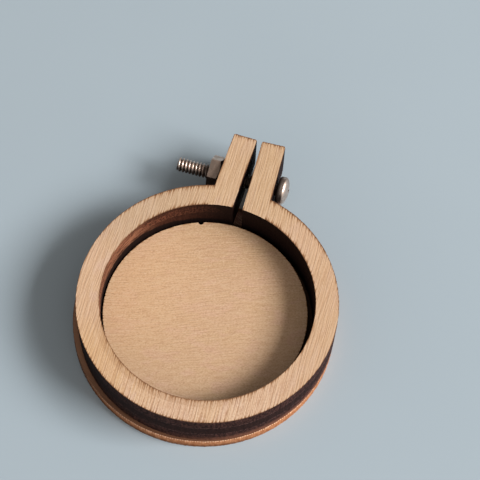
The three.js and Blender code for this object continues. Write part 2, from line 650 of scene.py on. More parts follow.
@dataclass(frozen=True)
class SandedFace:
    """Bare sanded veneer: fine lines along the grain, a mottle, and a slow drift of tone.

    Its noises' cells are counted across the grain, along it and downwards.
    """

    tone: str
    warm: str
    cool: str
    pale: str  # of the light lines and mottles
    line: str  # of the dark ones
    turn: float  # degrees from +Y to the grain, counter-clockwise from above
    shift: float
    lines: Noise = Noise((4.6, 0.34, 0.5), 1.0, 0.45, 7.0)
    line_share: float = 0.75
    mottle: Noise = Noise((4.2, 2.6, 3.0), 2.0, 0.6, 13.0)
    mottle_share: float = 0.4
    dark: Fade = Fade(0.5, 0.72)  # these two follow the lines and the mottle
    light: Fade = Fade(0.5, 0.3)
    drift: Noise = Noise((0.16, 0.05, 0.1), fade=Fade(0.4, 0.66, high=0.6))  # to the warm tone
    blush: Noise = Noise((0.5, 0.22, 0.2), 2.0, 0.55, 3.0, Fade(0.5, 0.68, high=0.7))  # to the cool
    stray: Noise = Noise((0.035, 0.035, 0.035), 1.0, 0.4, 51.0)
    wander: float = 2.4  # how far the grain strays sideways
    ripple: float = 0.6  # from one growth line to the next
    ripple_share: float = 0.08
    uneven: Noise = Noise((0.9, 0.14, 0.2), 2.0, 0.5, 29.0)
    unevenness: float = 9.0  # radians that the growth lines stray by
    stains: tuple[Stain, ...] = ()
    bold: Patch | None = None  # where the pattern is stronger

    def colour(self, place: Signal) -> tuple[Signal, Signal]:
        """Builds the veneer's colour.

        Args:
            place: The point on the object.

        Returns:
            The colour, and the lines, high where they are dark.
        """
        aside = self.stray.at(place, self.shift).vector("MULTIPLY", (self.wander, 0, 0))
        along = place.turned(self.turn).vector("ADD", aside)  # its Y runs with the grain
        stray = self.uneven.at(along, self.shift) * self.unevenness
        phase = along.math("MULTIPLY_ADD", along.part("X"), FULL_TURN / self.ripple, stray)
        lines = self.lines.at(along, self.shift) + phase.math("SINE", phase) * self.ripple_share
        mottle = self.mottle.at(along, self.shift)
        shade = self.drift.at(along, self.shift).mix(self.tone, self.warm)
        shade = self.blush.at(along, self.shift).mix(shade, self.cool)
        shade = stained(place, shade, self.stains)
        strength = 1.0 + self.bold.at(place) if self.bold else 1.0
        for pattern, most in ((lines, self.line_share), (mottle, self.mottle_share)):
            for fade, tone in ((self.dark, self.line), (self.light, self.pale)):
                shade = (replace(fade, high=most).at(pattern) * strength).mix(shade, tone)
        return shade, lines


@dataclass(frozen=True)
class BurntWall:
    """Laser-cut wall: charred wood with fine kerf marks, in which the plies show as bands."""

    dark: str
    brown: str
    glue: str
    shift: float
    layers: int = 3
    kerf: Noise = Noise((2.2, 2.2, 2.4), 3.0, 0.6)
    browned: Fade = Fade(0.36, 0.7)  # follows the kerf marks
    waver: float = 0.5  # how far the plies' bounds stray
    wavering: Noise = Noise((0.25, 0.25, 0.0), 2.0, 0.6, 9.0)
    core: Fade = Fade(0.7, 0.35, high=0.75)  # follows the plies from the middle: how much blacker
    soot: Noise = Noise((0.3, 0.3, 0.7), 3.0, 0.6, 5.0, Fade(0.5, 0.7, high=0.5))
    seam: Fade = Fade(0.42, 0.5, high=0.75)  # follows the plies from a ply's middle: the glue
    flecks: Noise = Noise((3.0, 3.0, 1.0), 2.0, 0.6, 21.0, Fade(0.42, 0.6))  # where glue shows
    stains: tuple[Stain, ...] = ()

    def colour(self, place: Signal, base: float, thickness: float) -> tuple[Signal, Signal]:
        """Builds the wall's colour.

        Args:
            place: The point on the object.
            base: Height of the wall's foot.
            thickness: Height of the wall above it.

        Returns:
            The colour, and the kerf marks that the relief follows.
        """
        kerf = self.kerf.at(place, self.shift)
        waver = self.wavering.at(place, self.shift) * self.waver
        height = place.part("Z") + waver - (base + self.waver / 2)
        layer = height / (thickness / self.layers)
        off_core = abs(layer - self.layers / 2)
        off_ply = abs(layer.math("FRACT", layer) - 0.5)
        shade = self.browned.at(kerf).mix(self.dark, self.brown)
        shade = self.core.at(off_core).mix(shade, self.dark)
        shade = self.soot.at(place, self.shift).mix(shade, self.dark)
        glue = self.seam.at(off_ply) * self.flecks.at(place, self.shift)
        return stained(place, glue.mix(shade, self.glue), self.stains), kerf


@dataclass(frozen=True)
class PlyFinish:
    """A laser-cut ply piece: its sanded face, singed and scorched along the edges."""

    name: str
    face: SandedFace
    singe: str = "9C6F4B"
    scorch: str = "4E3020"
    reach: float = 1.3  # how far the singe goes in along the grain at most
    least_reach: float = 0.25  # share of that where the grain is light
    dark_grain: Fade = Fade(0.4, 0.66)  # follows the lines
    singed: Fade = Fade(1.0, 0.2, high=0.85)  # these two follow the share of the reach
    scorched: Fade = Fade(0.32, 0.12, high=0.65)
    raised: Fade = Fade(0.75, 0.3)  # follows the lines: the grain's relief
    grain_depth: float = 0.03
    kerf_depth: float = 0.04
    roughness: float = 0.6
    specular: float = 0.1
    wall_specular: float = 0.03
    stains: tuple[Stain, ...] = ()

    def veneer(self, edge_depth: Callable[[Signal], Signal]) -> bpy.types.Material:
        """Builds the face's material.

        Args:
            edge_depth: Gives the distance from the piece's edge, counted along the grain.

        Returns:
            The material.
        """
        surface = Surface(f"{self.name}_veneer")
        veneer, lines = self.face.colour(surface.place)
        reach = replace(self.dark_grain, low=self.least_reach * self.reach, high=self.reach)
        depth = edge_depth(surface.place) / reach.at(lines)
        veneer = self.singed.at(depth).mix(veneer, self.singe)
        veneer = self.scorched.at(depth).mix(veneer, self.scorch)
        veneer = stained(surface.place, veneer, self.stains)
        surface.relief(self.raised.at(lines), self.grain_depth)
        return surface.finish(veneer, self.roughness, self.specular)

    def walls(self, wall: Callable[[Signal], tuple[Signal, Signal]]) -> bpy.types.Material:
        """Builds the material of the cut edges.

        Args:
            wall: Gives the wall's colour and its kerf marks.

        Returns:
            The material.
        """
        surface = Surface(f"{self.name}_walls")
        burnt, kerf = wall(surface.place)
        surface.relief(kerf, self.kerf_depth)
        return surface.finish(burnt, self.roughness, self.wall_specular)


@dataclass
class PlyPiece(ABC):
    """A flat piece cut from ply by a laser, whose edge keeps the beam's fine steps."""

    finish: PlyFinish
    thickness: float = 2.6
    base: float = 0.0
    step: float = 0.22  # length of the beam's steps along the edge
    jitter: float = 0.035  # how far the edge strays
    seed: int = 0  # picks the strays
    edge_break: float = 0.05
    break_angle: float = 50.0  # degrees: sharper edges are broken
    crease: float = 35.0  # degrees: the walls' steps are one surface, the broken edges aren't

    @abstractmethod
    def edge_depth(self, place: Signal) -> Signal:
        """Distance from the piece's edge, counted along the grain."""

    @abstractmethod
    def wall(self, place: Signal) -> tuple[Signal, Signal]:
        """Colour and kerf marks of the cut edges."""

    def draw_circle(self, radius: float, centre_x: float = 0.0) -> None:
        """Draws a circle in the beam's steps."""
        steps, centre = round(FULL_TURN * radius / self.step), (centre_x, 0, self.base)
        bpy.ops.mesh.primitive_circle_add(vertices=steps, radius=radius, location=centre)

    def roughened(self, piece: Workpiece) -> Workpiece:
        """Fills a drawn outline, lets its edge stray and gives it its thickness.

        Args:
            piece: A closed line in the plane of the piece's underside.

        Returns:
            The piece.
        """
        rise = (0, 0, self.thickness)
        with piece.editing("VERT"):
            pick(True)
            bpy.ops.mesh.edge_face_add()
            bpy.ops.transform.vertex_random(offset=self.jitter, uniform=1.0, seed=self.seed)
            bpy.ops.transform.resize(value=(1, 1, 0), center_override=(0, 0, self.base))
            bpy.ops.mesh.extrude_region_move(TRANSFORM_OT_translate={"value": rise})
            face_out()
        return piece

    def completed(self, piece: Workpiece) -> bpy.types.Object:
        """Breaks the edges, closes the work and dresses the piece."""
        obj = piece.soften(self.edge_break, self.break_angle).finished(self.crease)
        piece.dress(self.finish.veneer(self.edge_depth), self.finish.walls(self.wall))
        return obj


@dataclass
class OuterRing(PlyPiece):
    """The thick split ring and its two ears."""

    finish: PlyFinish = PlyFinish(
        name="ring",
        face=SandedFace(
            "DAB495", "D9B28A", "DAB69E", "EACCAE", "AC7E60", turn=1.0, shift=3.0,
            lines=Noise((5.2, 0.24, 0.5), 1.0, 0.45, 7.0), line_share=0.26, mottle_share=0.2,
            wander=1.5, bold=Patch((4, -23, 11.2), 24, 1.2),
            stains=(
                Stain("D8AC78", Patch((-15, -17, 11.2), 11, 0.6)),
                Stain("CBA882", Patch((4, 28, 11.2), 18, 0.7)),
                Stain("C0A484", Patch((-17, 17, 11.2), 17, 0.6)),
                Stain("CCA681", Patch((27, 4, 11.2), 28, 0.55)),
            ),
        ),
        stains=(SmokeAndShadeRing("A87C58", Patch((-6, -20, 11.2), 26, 0.3), inner=18.5, outer=21.6),),
    )
    thickness: float = 8.6
    base: float = 2.6
    seed: int = 11
    bore_radius: float = 20.0
    outer_radius: float = 24.3
    slot_at_bore: float = 2.0
    slot_at_tip: float = 1.0
    ear_width: float = 4.7
    ear_tip: float = 35.8
    ear_corner: float = 0.35
    corner_steps: int = 4
    hole_radius: float = 1.725
    drill_length: float = 24.0
    hole_steps: int = 64
    outer_wall: BurntWall = BurntWall(
        "241512", "543630", "6A4E4A", shift=2.0, kerf=Noise((2.6, 2.6, 1.6), 3.0, 0.6),
        stains=(
            Stain("9A6650", z=Fade(4.6, 2.7, high=0.5), x=Fade(-4, 14)),  # brown foot, right
            Stain("1C1312", Patch((-25, -9, 7), 32, 0.95)),
            Stain("1C1312", y=Fade(18, 23, high=0.8)),
        ),
    )
    inner_wall: BurntWall = BurntWall(
        "3A2119", "7A4A38", "7E523E", shift=17.0, kerf=Noise((3.2, 3.2, 2.4), 3.0, 0.6),
        stains=(
            Stain(  # pale streaks at the far left: painted light where the window falls on the bore, over streaky wood
                "A87458", noise=Noise((0.3, 0.3, 2.2), 3.0, 0.6, 63.0, Fade(0.4, 0.62)),
                x=Fade(-13.5, -18.5, high=0.7),
            ),
            Stain("2A1712", z=Fade(9.8, 10.9, high=0.6), x=Fade(-19, -15.5)),  # burnt brow
            WavyChar("1E1412", line=Fade(-6, -19, 6.2, 7.7)),
            # painted shade: the bore's right half, which the window doesn't reach, near black
            Stain("1C1312", x=Fade(-15, -1, high=0.96)),
        ),
    )
    bore_wall: float = 0.4  # how far outside the bore's radius its wall's colour ends
    bore_reach: Fade = Fade(0.2, 0.9, 3.4, 1.0)  # these two follow how squarely the edge cuts the
    rim_reach: Fade = Fade(0.2, 0.9, 7.0, 1.8)  # grain: how much less the singe reaches
    far_rim: Fade = Fade(-6, 10, 1.0, 0.45)  # follows Y: the singe reaches further on the ear side
    side_reach: float = 2.4  # how much less the singe reaches from the ears' long edges
    before_ears: Fade = Fade(0.0, 0.1, -99.0, 0.0)  # follows Y: keeps the ears' edges out in front

    def corners(self) -> tuple[Vector, Vector, Vector, Vector]:
        """The right ear's corners from above: inner root, inner tip, outer tip and outer root."""
        half = self.slot_at_bore / 2
        inner_root = Vector((half, math.sqrt(self.bore_radius**2 - half**2)))
        inner_tip = Vector((self.slot_at_tip / 2, self.ear_tip))
        along = (inner_tip - inner_root).normalized()
        outer_tip = inner_tip + Vector((along.y, -along.x)) * self.ear_width
        lead = outer_tip.dot(along)
        back = lead - math.sqrt(lead**2 - outer_tip.length_squared + self.outer_radius**2)
        return inner_root, inner_tip, outer_tip, outer_tip - along * back

    def _draw_arc(self, radius: float, stop: Vector) -> None:
        """Adds a circle to the open drawing and opens it between the two ears' corners.

        Args:
            radius: The circle's radius.
            stop: The right ear's corner on it, where the arc has to end.
        """
        pick(False)
        self.draw_circle(radius)
        mesh = bench_mesh()
        arc = [v for v in mesh.verts if v.select]
        gap = stop.x + self.step / 3
        delete_points([v for v in arc if v.co.y > 0 and abs(v.co.x) < gap])

    def _draw_ear(self, side: int) -> None:
        """Draws one ear as a line of edges from its outer root to its inner root.

        Args:
            side: 1 for the right ear and -1 for the left.
        """
        corners = [Vector((side * c.x, c.y, self.base)) for c in reversed(self.corners())]
        pick(False)
        bpy.ops.mesh.primitive_circle_add(vertices=3, radius=1)
        mesh = bench_mesh()
        draw_line(corners, [v for v in mesh.verts if v.select])

    def _close_gaps(self) -> None:
        """Joins the loose ends of the arcs to the ears, nearest first."""
        mesh = bench_mesh()
        loose = [v for v in mesh.verts if len(v.link_edges) == 1]
        while loose:
            vert = loose.pop()
            mate = min(loose, key=lambda v: (v.co - vert.co).length)
            loose.remove(mate)
            pick(False)
            vert.select_set(True)
            mate.select_set(True)
            bpy.ops.mesh.edge_face_add()

    def _round_tips(self) -> None:
        """Rounds the corners at the ears' tips and gives the long edges the beam's steps."""
        mesh = bench_mesh()
        pick(False)
        for vert in mesh.verts:
            vert.select_set(vert.co.y > self.ear_tip - 1)
        bpy.ops.mesh.bevel(affect="VERTICES", offset=self.ear_corner, segments=self.corner_steps)
        bpy.ops.mesh.select_mode(type="EDGE")
        mesh = bench_mesh()
        lengths = {round(edge.calc_length(), 3) for edge in mesh.edges}
        for length in sorted(size for size in lengths if size > 4 * self.step):
            pick(False)
            mesh = bench_mesh()
            for edge in mesh.edges:
                edge.select_set(abs(edge.calc_length() - length) < ALIKE)
            bpy.ops.mesh.subdivide(number_cuts=round(length / self.step) - 1)
        bpy.ops.mesh.select_mode(type="VERT")

    def edge_depth(self, place: Signal) -> Signal:
        """Distance from the ring's edge, counted along the grain.

        Args:
            place: The point on the object.

        Returns:
            The distance, more where the edge runs with the grain.
        """
        flat, radius = place.flat(), place.radius()
        y = flat.part("Y")
        squarely = abs(y) / radius
        from_bore = (radius - self.bore_radius) * self.bore_reach.at(squarely)
        from_rim = (self.outer_radius - radius) * self.rim_reach.at(squarely) * self.far_rim.at(y)
        inner_root, inner_tip, *_ = self.corners()
        along = (inner_tip - inner_root).normalized()
        folded = flat.vector("ABSOLUTE").vector("SUBTRACT", (*inner_tip, 0))
        across = folded.vector("DOT_PRODUCT", (along.y, -along.x, 0))
        from_tip = folded.vector("DOT_PRODUCT", (-along.x, -along.y, 0))
        from_side = across.least(self.ear_width - across) * self.side_reach
        ear = from_side.least(from_tip) + self.before_ears.at(y)
        return from_bore.least(from_rim).most(ear)

    def wall(self, place: Signal) -> tuple[Signal, Signal]:
        """Colour and kerf marks: black-brown outside, redder in the bore's left half."""
        outside, kerf = self.outer_wall.colour(place, self.base, self.thickness)
        inside, _ = self.inner_wall.colour(place, self.base, self.thickness)
        bore = Fade(self.bore_wall, self.bore_wall / 2).moved(self.bore_radius)
        return bore.at(place.radius()).mix(outside, inside), kerf

    def build(self) -> bpy.types.Object:
        """Models and dresses the ring."""
        inner_root, _, _, outer_root = self.corners()
        Workpiece.clear_bench()
        bpy.ops.mesh.primitive_plane_add(size=1, location=(0, 0, self.base))
        ring = Workpiece("wooden_ring")
        with ring.editing("VERT") as mesh:
            delete_points(list(mesh.verts))
            self._draw_arc(self.outer_radius, outer_root)
            self._draw_arc(self.bore_radius, inner_root)
            for side in (1, -1):
                self._draw_ear(side)
            self._close_gaps()
            pick(True)
            bpy.ops.mesh.remove_doubles(threshold=self.step / 3)
            bpy.ops.mesh.edge_face_add()
            self._round_tips()
        self.roughened(ring)
        size = (self.hole_radius, self.drill_length)
        drill = Workpiece.cylinder("drill", *size, CLAMP, self.hole_steps, Axis.X)
        obj = self.completed(ring.cut(drill))
        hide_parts("outer_ring")
        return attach(obj, "ring")


@dataclass
class RoundPly(PlyPiece):
    """A disc of ply."""

    radius: float = 1.0
    centre_x: float = 0.0

    def edge_depth(self, place: Signal) -> Signal:
        """Distance from the disc's rim."""
        return self.radius - place.flat().vector("DISTANCE", (self.centre_x, 0, 0))

    def blank(self, name: str) -> Workpiece:
        """Cuts the disc."""
        Workpiece.clear_bench()
        self.draw_circle(self.radius, self.centre_x)
        return self.roughened(Workpiece(name))


@dataclass
class FabricDisc(RoundPly):
    """The thin disc that the cloth is stretched over."""

    finish: PlyFinish = PlyFinish(
        name="disc",
        face=SandedFace(
            "D6AF8C", "D3AE86", "D8AE92", "E4C4A2", "B78A68", turn=-72.0, shift=57.0,
            lines=Noise((3.2, 0.4, 0.5), 1.0, 0.45, 7.0), line_share=0.22,
            mottle=Noise((4.4, 2.9, 3.0), 2.0, 0.6, 13.0), mottle_share=0.55,
            ripple=0.45, ripple_share=0.03,
            stains=(
                # painted light: the disc lighter on the left, where the bore wall keeps some sky
                # off it
                Stain("E2B78D", Patch((-19, 3, 5.2), 26, 0.6)),
                Stain("BE9872", Patch((2, 19, 5.2), 14, 0.35)),
            ),
        ),
        reach=0.35,
    )
    base: float = 2.6
    radius: float = 19.3
    centre_x: float = -0.4
    seed: int = 23
    notch_radius: float = 0.5
    notch_angle: float = 109.0  # degrees
    notch_steps: int = 24
    edge: BurntWall = BurntWall("241713", "4E3226", "5A3A2C", shift=61.0)

    def wall(self, place: Signal) -> tuple[Signal, Signal]:
        """Colour and kerf marks of the edge."""
        return self.edge.colour(place, self.base, self.thickness)

    def build(self) -> bpy.types.Object:
        """Models and dresses the disc."""
        angle, depth = math.radians(self.notch_angle), 2 * self.thickness
        x, y = self.centre_x + self.radius * math.cos(angle), self.radius * math.sin(angle)
        spot = (x, y, self.base + self.thickness / 2)
        disc = self.blank("wooden_disc")
        drill = Workpiece.cylinder("drill", self.notch_radius, depth, spot, self.notch_steps)
        obj = self.completed(disc.cut(drill))
        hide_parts("fabric_disc")
        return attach(obj, "disc")


@dataclass
class BackPlate(RoundPly):
    """The thin plate under the ring, with its caramel edge."""

    finish: PlyFinish = PlyFinish(
        name="plate",
        face=SandedFace(
            "D6B08C", "D2AA80", "D6AE90", "E6C8A8", "AD8262", turn=62.0, shift=83.0,
            stains=(Stain("9F6760", Patch((0, 22.5, 2.6), 5.5)),),
        ),
        singe="C08E68", scorch="A06C48", reach=1.6,
        stains=(
            Stain("33231B", Patch((-26, -2, 2.6), 34)),
            # painted shade: the plate's face down in the gap between disc and bore, which lies in
            # shadow
            SmokeAndShadeRing("5A4030", inner=17.0, outer=21.5),
            SmokeAndShadeRing("6E4A36", inner=23.4, outer=27.0),
            SmokeAndShadeRing("AA7E63", Patch((-24, 0, 2.6), 36), inner=23.8, outer=27.0),
        ),
    )
    radius: float = 24.85
    centre_x: float = -0.6
    seed: int = 37
    edge: BurntWall = BurntWall(
        "AC6E48", "E2A074", "CE9064", shift=91.0, kerf=Noise((1.6, 1.6, 0.8), 3.0, 0.6),
        core=Fade(0.7, 0.35, high=0.3),
    )
    beads: int = 336  # marks of the beam's pulses round the rim
    uneven: Noise = Noise((1.2, 1.2, 0.5), 2.0, 0.6, 77.0, Fade(0.3, 0.7, -0.7, 0.7))
    bead: Fade = Fade(0.0, 1.0, high=0.35)  # follows the marks: their dark
    # painted highlight: a pale band along the top of the edge, glinting between the beam's marks
    lip_highlight: str = "F6CCAA"
    highlight_height: Fade = Fade(2.1, 2.5)
    highlight_gaps: Fade = Fade(-0.5, 0.3, 0.9, 0.0)  # follows the marks: the painted highlight shows between them
    stains: tuple[Stain, ...] = (
        Stain("4A3226", Patch((-26, -2, 1), 38, 0.95)),
        Stain("3A2418", z=Fade(1.8, 0.2, high=0.65), x=Fade(11, 20, 1.0, 0.3)),
    )

    def wall(self, place: Signal) -> tuple[Signal, Signal]:
        """Builds the edge's colour: caramel with a painted highlight along its top, darker on the
        left and towards the foot.

        Args:
            place: The point on the object.

        Returns:
            The colour and the kerf marks.
        """
        caramel, kerf = self.edge.colour(place, self.base, self.thickness)
        angle = place.math("ARCTAN2", place.part("Y"), place.part("X"))
        marks = angle.math("SINE", angle * float(self.beads)) + self.uneven.at(place)
        caramel = self.bead.at(marks).mix(caramel, self.edge.dark)
        lip_highlight = self.highlight_height.at(place.part("Z")) * self.highlight_gaps.at(marks)
        return stained(place, lip_highlight.mix(caramel, self.lip_highlight), self.stains), kerf

    def build(self) -> bpy.types.Object:
        """Models and dresses the plate."""
        obj = self.completed(self.blank("wooden_back_plate"))
        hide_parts("back_plate")
        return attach(obj, "backing")


@dataclass(frozen=True)
class PlatedSteel:
    """Plated steel of small hardware: soft cloudy gloss, with grime where it is never rubbed and
    painted shade where little light falls.
    """

    name: str
    bright: str
    dull: str
    gloss: float  # roughness where it is bright
    worn: float  # roughness where it is dull
    # colour of the grime and of the painted shade
    grime_and_shade: str = "2A211D"
    grime_rough: float = 0.3  # what grime adds to the roughness
    cloud: Noise = Noise((0.9, 0.9, 0.9), 3.0, 0.6, 3.0, Fade(0.35, 0.7))
    specks: Noise = Noise((5.0, 5.0, 5.0), 2.0, 0.6, 9.0, Fade(0.55, 0.75, high=0.5))
    pits: Noise = Noise((7.0, 7.0, 7.0), 2.0, 0.6, 15.0)
    pit_depth: float = 0.012

    def material(self, grime_and_shade: Callable[[Signal], Signal]) -> bpy.types.Material:
        """Builds the material.

        Args:
            grime_and_shade: Gives the share of grime and of painted shade at a point.

        Returns:
            The material.
        """
        surface = Surface(self.name)
        cloud, dirt_and_shade = self.cloud.at(surface.place), grime_and_shade(surface.place)
        shade = self.specks.at(surface.place).mix(cloud.mix(self.bright, self.dull), self.dull)
        rough = Fade(0.0, 1.0, self.gloss, self.worn).at(cloud) + dirt_and_shade * self.grime_rough
        surface.relief(self.pits.at(surface.place), self.pit_depth)
        return surface.finish(dirt_and_shade.mix(shade, self.grime_and_shade), rough, metallic=1.0)


@dataclass(frozen=True)
class ThreadForm:
    """The machine screw's thread, also cut into the nut with a little room."""

    pitch: float = 0.69
    crest: float = 1.425
    root: float = 1.02
    steps: int = 48
    # From a root to the next crest: shares of the pitch and of the thread's height
    flank: tuple[Pair, ...] = (
        (0.0, 0.0), (0.08, 0.04), (0.24, 0.55), (0.33, 0.83), (0.42, 0.96), (0.5, 1.0)
    )

    def rod(self, name: str, ends: Pair, room: float = 0.0) -> Workpiece:
        """Makes a threaded rod with flat ends on the clamp's axis.

        Args:
            name: The object's name.
            ends: X of its left end and of its right end.
            room: Added to both radii.

        Returns:
            The rod.
        """
        root, crest = self.root + room, self.crest + room
        origin = math.floor(ends[0] / self.pitch - 2) * self.pitch
        turns = math.ceil((ends[1] - origin) / self.pitch) + 2
        form = self.flank + tuple((1 - share, high) for share, high in reversed(self.flank[:-1]))
        line = [(origin + x * self.pitch, 0.0, root + high * (crest - root)) for x, high in form]
        rod = Workpiece.path(name, line).modify(
            "SCREW", axis="X", angle=FULL_TURN, screw_offset=self.pitch, iterations=turns,
            steps=self.steps, use_merge_vertices=True, merge_threshold=WELD,
        )
        with rod.editing("VERT"):
            pick(True)
            bpy.ops.mesh.remove_doubles(threshold=WELD)
            for x, side in zip(ends, ("clear_inner", "clear_outer")):
                flush = {"plane_co": (x, 0, 0), "plane_no": (1, 0, 0), side: True}
                pick(True)
                bpy.ops.mesh.bisect(use_fill=True, threshold=WELD, **flush)
            face_out()
            bpy.ops.transform.translate(value=CLAMP)
        return rod


@dataclass
class Hardware(ABC):
    """A steel piece on the clamp's axis."""

    finish: PlatedSteel
    thread: ThreadForm = ThreadForm()
    overrun: float = 1.0  # how far a tool goes past what it cuts

    @abstractmethod
    def grime_and_shade(self, place: Signal) -> Signal:
        """The share of grime and of painted shade at a point."""

    def spun(self, name: str, profile: Sequence[Pair], steps: int) -> Workpiece:
        """The solid that a profile of X and radius, from axis to axis, makes when turned."""
        line = [(x, CLAMP[1], CLAMP[2] + radius) for x, radius in profile]
        return Workpiece.path(name, line).turned(CLAMP, steps)

    def off_axis(self, place: Signal) -> tuple[Signal, Signal]:
        """The way to a point from the clamp's middle, and the point's distance from the axis."""
        way = place.vector("SUBTRACT", CLAMP)
        return way, way.vector("MULTIPLY", (0, 1, 1)).vector("LENGTH")

    def completed(self, piece: Workpiece, crease: float) -> bpy.types.Object:
        """Closes the work and dresses the piece."""
        obj = piece.finished(crease)
        obj.data.materials.append(self.finish.material(self.grime_and_shade))
        return obj


@dataclass
class ClampScrew(Hardware):
    """The pan-headed machine screw through both ears."""

    finish: PlatedSteel = PlatedSteel("screw_steel", "EBD6C9", "C6AFA0", gloss=0.28, worn=0.38)
    seat: float = 5.818  # X of the underside of the head
    tip: float = -14.48
    tip_chamfer: float = 0.22
    tip_slope: Pair = (0.5, 0.35)  # where the chamfer's cut ends: past the tip, outside the crests
    into_head: float = 0.4  # how far the thread runs into the head
    head_radius: float = 2.8
    head_side: float = 1.05
    head_height: float = 2.2
    head_round: Pair = (0.6, 0.42)  # rounding of the underside's edge, along X and inwards
    recess_span: float = 3.1
    recess_width: float = 0.62
    recess_depth: float = 1.35
    recess_taper: float = 0.45
    head_steps: int = 96
    dome_steps: int = 14
    round_steps: int = 6
    blank_steps: int = 64
    crease: float = 32.0  # degrees
    # painted shade on the dome's upper right
    dome_shade: Patch = Patch((7.6, 31.0, 8.4), 2.6, 0.4)
    crest_clean: float = 0.08  # how far down from the crests the thread is clean
    valley_grime: float = 0.6
    shade_by_nut: Fade = Fade(-10.0, -8.6, high=0.6)  # follows X: painted shade of the nut and ear on the thread beside the nut
    shade_below: Fade = Fade(1.15, 0.45, high=0.72)  # follows the height above the axis: painted shade on the thread's underside
    off_head: Fade = Fade(0.1, -0.1)  # these three follow X from the seat; the second paints shade on the head's side
    shade_by_seat: Fade = Fade(1.15, 0.35, high=0.8)
    in_head: Fade = Fade(0.0, 0.1)
    off_shank: Fade = Fade(1.8, 2.2)  # follows the distance from the axis
    sunk: Fade = Fade(0.08, 0.5, high=0.85)  # follows the depth under the dome
    recess_bounds: Pair = (0.56, 0.5)  # shares of its span where its grime ends and is full

    def _head(self) -> Workpiece:
        """The head: a straight side, a low dome and a cross recess."""
        seat, radius = self.seat, self.head_radius
        side, top = seat + self.head_side, seat + self.head_height
        along, inward = self.head_round
        dome = self.head_height - self.head_side
        underside = [
            (seat + along * (1 - math.cos(a)), radius - inward * (1 - math.sin(a)))
            for a in quarter_turn(self.round_steps)
        ]
        crown = [
            (side + dome * math.sin(a), radius * math.cos(a))
            for a in quarter_turn(self.dome_steps)[1:-1]
        ]
        profile = [(seat, 0.0), *underside, (side, radius), *crown, (top, 0.0)]
        head = self.spun("head", profile, self.head_steps)
        middle = (top, *CLAMP[1:])
        taper = (1, self.recess_taper, self.recess_taper)
        for span in ((self.recess_span, self.recess_width), (self.recess_width, self.recess_span)):
            wing = Workpiece.block("recess", (2 * self.recess_depth, *span), middle)
            with wing.editing("FACE") as mesh:
                for face in mesh.faces:
                    face.select_set(face.normal.x < -LEVEL)
                bpy.ops.transform.resize(value=taper, center_override=middle)
            head.cut(wing)
        return head

    def grime_and_shade(self, place: Signal) -> Signal:
        """Grime in the thread's valleys and in the recess; painted shade beside the nut, on the
        thread's underside, on the head's side by the seat and on the dome's upper right.

        Args:
            place: The point on the object.

        Returns:
            The share of grime and of painted shade.
        """
        x = place.part("X")
        way, radius = self.off_axis(place)
        clean = self.thread.crest - self.crest_clean
        valley = Fade(clean, self.thread.root, high=self.valley_grime).at(radius)
        # grime in the thread's valleys, with painted shade beside the nut and underneath
        shank = valley.most(self.shade_by_nut.at(x), self.shade_below.at(way.part("Z")))
        shank *= self.off_head.moved(self.seat).at(x)
        share = radius / self.head_radius
        round_off = share.math("SQRT", 1.0 - share * share)
        side, height = self.seat + self.head_side, self.head_height - self.head_side
        dome = share.math("MULTIPLY_ADD", round_off, height, side)
        bounds = Fade(*(part * self.recess_span for part in self.recess_bounds))
        recess = self.sunk.at(dome - x) * bounds.at(radius) * self.in_head.moved(self.seat).at(x)
        # painted shade on the head's side by the seat and on the dome's upper right
        head = self.shade_by_seat.moved(self.seat).at(x) * self.off_shank.at(radius)
        return shank.most(recess, head.most(self.dome_shade.at(place)))

    def build(self) -> bpy.types.Object:
        """Models and dresses the screw."""
        tip, crest, end = self.tip, self.thread.crest, self.seat + self.overrun
        slope, wide = tip + self.tip_slope[0], crest + self.tip_slope[1]
        chamfer = [(tip, 0.0), (tip, crest - self.tip_chamfer), (slope, wide)]
        blank = self.spun("blank", [*chamfer, (end, wide), (end, 0.0)], self.blank_steps)
        ends = (tip - self.overrun, self.seat + self.into_head)
        screw = self.thread.rod("steel_screw", ends)
        screw.cut(blank, Cut.COMMON)
        screw.cut(self._head(), Cut.WELDED)
        obj = self.completed(screw, self.crease)
        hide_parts("clamp_screw")
        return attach(obj, "screw")


